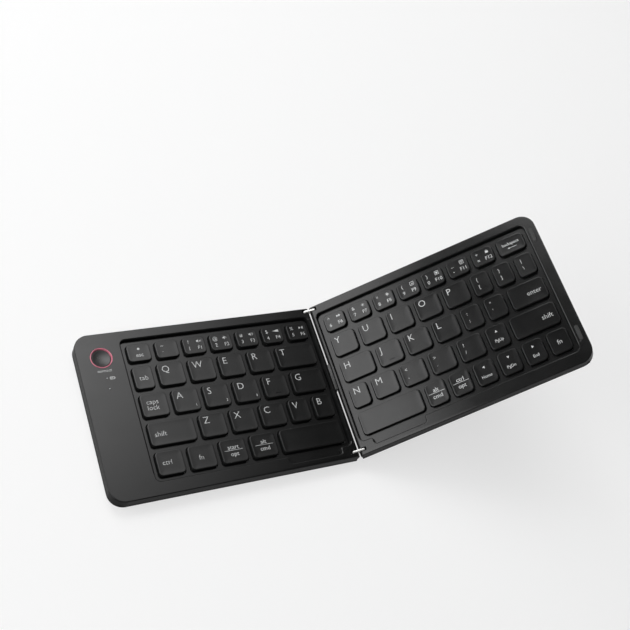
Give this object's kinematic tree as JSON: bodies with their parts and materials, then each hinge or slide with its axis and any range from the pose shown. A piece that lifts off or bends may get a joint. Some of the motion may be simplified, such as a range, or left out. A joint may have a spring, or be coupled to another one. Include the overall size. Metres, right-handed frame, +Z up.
{
  "type": "folding keyboard",
  "caption": "Slim pocket keyboard in two halves on a double-axis link hinge, drawn part folded, with travelling key caps and a round button.",
  "frame": {"origin": "centre of the outline on the surface under the left half's feet, with the right half raised by 38 degrees", "axes": "+X from the left half to the right half, +Y from the front edge to the back edge, +Z up, square to the left half"},
  "size_m": [0.2617, 0.098, 0.0972],
  "materials": {
    "case_bottom": "matte",
    "case_top": "satin",
    "key_deck": "satin",
    "backplate": "satin",
    "membrane": "satin",
    "dome_rubber": "matte",
    "scissor_plastic": "satin",
    "foot_rubber": "matte",
    "screw_steel": "satin",
    "bracket_steel": "satin",
    "link_chrome": "polished",
    "shaft_steel": "satin",
    "sleeve_rubber": "matte",
    "pad_rubber": "matte",
    "magnet": "satin",
    "circuit_board": "satin",
    "battery_pouch": "satin",
    "socket_steel": "satin",
    "ring_red": "gloss",
    "lamp_lens": "gloss",
    "button_gloss": "gloss",
    "key_cap": "satin"
  },
  "bodies": {
    "left_half": {"left_base": "case_bottom", "left_rim": "case_top", "left_deck": "key_deck", "left_backplate": "backplate", "left_membrane": "membrane", "left_domes": "dome_rubber", "left_scissors": "scissor_plastic", "main_board": "circuit_board", "battery": "battery_pouch", "charge_socket": "socket_steel", "button_ring": "ring_red", "indicator_lenses": "lamp_lens", "left_feet": "foot_rubber", "left_screws": "screw_steel", "left_hinge_brackets": "bracket_steel"},
    "hinge_link": {"back_link_bar": "link_chrome", "front_link_bar": "link_chrome", "hinge_shafts": "shaft_steel", "flex_sleeve": "sleeve_rubber"},
    "right_half": {"right_base": "case_bottom", "right_rim": "case_top", "right_deck": "key_deck", "right_backplate": "backplate", "right_membrane": "membrane", "right_domes": "dome_rubber", "right_scissors": "scissor_plastic", "right_feet": "foot_rubber", "right_screws": "screw_steel", "right_hinge_brackets": "bracket_steel", "bumper_pads": "pad_rubber", "wake_magnet": "magnet"},
    "round_button": {"connect_button": "button_gloss"},
    "cap_esc": {"esc_key": "key_cap"},
    "cap_left_number": {"left_number_keys": "key_cap"},
    "cap_tab": {"tab_key": "key_cap"},
    "cap_qwert": {"qwert_keys": "key_cap"},
    "cap_caps_lock": {"caps_lock_key": "key_cap"},
    "cap_asdfg": {"asdfg_keys": "key_cap"},
    "cap_left_shift": {"left_shift_key": "key_cap"},
    "cap_zxcvb": {"zxcvb_keys": "key_cap"},
    "cap_left_ctrl": {"left_ctrl_key": "key_cap"},
    "cap_left_fn": {"left_fn_key": "key_cap"},
    "cap_left_option": {"left_option_key": "key_cap"},
    "cap_left_alt": {"left_alt_key": "key_cap"},
    "cap_left_space": {"left_space_key": "key_cap"},
    "cap_right_number": {"right_number_keys": "key_cap"},
    "cap_backspace": {"backspace_key": "key_cap"},
    "cap_yuiop": {"yuiop_keys": "key_cap"},
    "cap_hjkl": {"hjkl_keys": "key_cap"},
    "cap_enter": {"enter_key": "key_cap"},
    "cap_nm": {"nm_keys": "key_cap"},
    "cap_up": {"up_key": "key_cap"},
    "cap_right_shift": {"right_shift_key": "key_cap"},
    "cap_right_space": {"right_space_key": "key_cap"},
    "cap_right_alt": {"right_alt_key": "key_cap"},
    "cap_right_ctrl": {"right_ctrl_key": "key_cap"},
    "cap_left_arrow": {"left_arrow_key": "key_cap"},
    "cap_down_arrow": {"down_arrow_key": "key_cap"},
    "cap_right_arrow": {"right_arrow_key": "key_cap"},
    "cap_right_fn": {"right_fn_key": "key_cap"}
  },
  "joints": [
    {"name": "left_fold", "type": "hinge", "parent": "left_half", "child": "hinge_link", "pos_m": [0.01147, 0, 0.0064], "axis": [0, -1, 0], "range_deg": [-19, 71]},
    {"name": "right_fold", "type": "hinge", "parent": "hinge_link", "child": "right_half", "pos_m": [0.01639, 0, 0.00809], "axis": [0, -1, 0], "range_deg": [-19, 71]},
    {"name": "connect_press", "type": "slide", "parent": "left_half", "child": "round_button", "axis": [0, 0, -1], "range_m": [0, 0.00035], "stiffness_N_per_m": 800},
    {"name": "press_esc", "type": "slide", "parent": "left_half", "child": "cap_esc", "axis": [0, 0, -1], "range_m": [0, 0.0012], "stiffness_N_per_m": 500},
    {"name": "press_left_number", "type": "slide", "parent": "left_half", "child": "cap_left_number", "axis": [0, 0, -1], "range_m": [0, 0.0012], "stiffness_N_per_m": 500},
    {"name": "press_tab", "type": "slide", "parent": "left_half", "child": "cap_tab", "axis": [0, 0, -1], "range_m": [0, 0.0012], "stiffness_N_per_m": 500},
    {"name": "press_qwert", "type": "slide", "parent": "left_half", "child": "cap_qwert", "axis": [0, 0, -1], "range_m": [0, 0.0012], "stiffness_N_per_m": 500},
    {"name": "press_caps_lock", "type": "slide", "parent": "left_half", "child": "cap_caps_lock", "axis": [0, 0, -1], "range_m": [0, 0.0012], "stiffness_N_per_m": 500},
    {"name": "press_asdfg", "type": "slide", "parent": "left_half", "child": "cap_asdfg", "axis": [0, 0, -1], "range_m": [0, 0.0012], "stiffness_N_per_m": 500},
    {"name": "press_left_shift", "type": "slide", "parent": "left_half", "child": "cap_left_shift", "axis": [0, 0, -1], "range_m": [0, 0.0012], "stiffness_N_per_m": 500},
    {"name": "press_zxcvb", "type": "slide", "parent": "left_half", "child": "cap_zxcvb", "axis": [0, 0, -1], "range_m": [0, 0.0012], "stiffness_N_per_m": 500},
    {"name": "press_left_ctrl", "type": "slide", "parent": "left_half", "child": "cap_left_ctrl", "axis": [0, 0, -1], "range_m": [0, 0.0012], "stiffness_N_per_m": 500},
    {"name": "press_left_fn", "type": "slide", "parent": "left_half", "child": "cap_left_fn", "axis": [0, 0, -1], "range_m": [0, 0.0012], "stiffness_N_per_m": 500},
    {"name": "press_left_option", "type": "slide", "parent": "left_half", "child": "cap_left_option", "axis": [0, 0, -1], "range_m": [0, 0.0012], "stiffness_N_per_m": 500},
    {"name": "press_left_alt", "type": "slide", "parent": "left_half", "child": "cap_left_alt", "axis": [0, 0, -1], "range_m": [0, 0.0012], "stiffness_N_per_m": 500},
    {"name": "press_left_space", "type": "slide", "parent": "left_half", "child": "cap_left_space", "axis": [0, 0, -1], "range_m": [0, 0.0012], "stiffness_N_per_m": 500},
    {"name": "press_right_number", "type": "slide", "parent": "right_half", "child": "cap_right_number", "axis": [0.6157, 0, -0.788], "range_m": [0, 0.0012], "stiffness_N_per_m": 500},
    {"name": "press_backspace", "type": "slide", "parent": "right_half", "child": "cap_backspace", "axis": [0.6157, 0, -0.788], "range_m": [0, 0.0012], "stiffness_N_per_m": 500},
    {"name": "press_yuiop", "type": "slide", "parent": "right_half", "child": "cap_yuiop", "axis": [0.6157, 0, -0.788], "range_m": [0, 0.0012], "stiffness_N_per_m": 500},
    {"name": "press_hjkl", "type": "slide", "parent": "right_half", "child": "cap_hjkl", "axis": [0.6157, 0, -0.788], "range_m": [0, 0.0012], "stiffness_N_per_m": 500},
    {"name": "press_enter", "type": "slide", "parent": "right_half", "child": "cap_enter", "axis": [0.6157, 0, -0.788], "range_m": [0, 0.0012], "stiffness_N_per_m": 500},
    {"name": "press_nm", "type": "slide", "parent": "right_half", "child": "cap_nm", "axis": [0.6157, 0, -0.788], "range_m": [0, 0.0012], "stiffness_N_per_m": 500},
    {"name": "press_up", "type": "slide", "parent": "right_half", "child": "cap_up", "axis": [0.6157, 0, -0.788], "range_m": [0, 0.0012], "stiffness_N_per_m": 500},
    {"name": "press_right_shift", "type": "slide", "parent": "right_half", "child": "cap_right_shift", "axis": [0.6157, 0, -0.788], "range_m": [0, 0.0012], "stiffness_N_per_m": 500},
    {"name": "press_right_space", "type": "slide", "parent": "right_half", "child": "cap_right_space", "axis": [0.6157, 0, -0.788], "range_m": [0, 0.0012], "stiffness_N_per_m": 500},
    {"name": "press_right_alt", "type": "slide", "parent": "right_half", "child": "cap_right_alt", "axis": [0.6157, 0, -0.788], "range_m": [0, 0.0012], "stiffness_N_per_m": 500},
    {"name": "press_right_ctrl", "type": "slide", "parent": "right_half", "child": "cap_right_ctrl", "axis": [0.6157, 0, -0.788], "range_m": [0, 0.0012], "stiffness_N_per_m": 500},
    {"name": "press_left_arrow", "type": "slide", "parent": "right_half", "child": "cap_left_arrow", "axis": [0.6157, 0, -0.788], "range_m": [0, 0.0012], "stiffness_N_per_m": 500},
    {"name": "press_down_arrow", "type": "slide", "parent": "right_half", "child": "cap_down_arrow", "axis": [0.6157, 0, -0.788], "range_m": [0, 0.0012], "stiffness_N_per_m": 500},
    {"name": "press_right_arrow", "type": "slide", "parent": "right_half", "child": "cap_right_arrow", "axis": [0.6157, 0, -0.788], "range_m": [0, 0.0012], "stiffness_N_per_m": 500},
    {"name": "press_right_fn", "type": "slide", "parent": "right_half", "child": "cap_right_fn", "axis": [0.6157, 0, -0.788], "range_m": [0, 0.0012], "stiffness_N_per_m": 500}
  ]
}
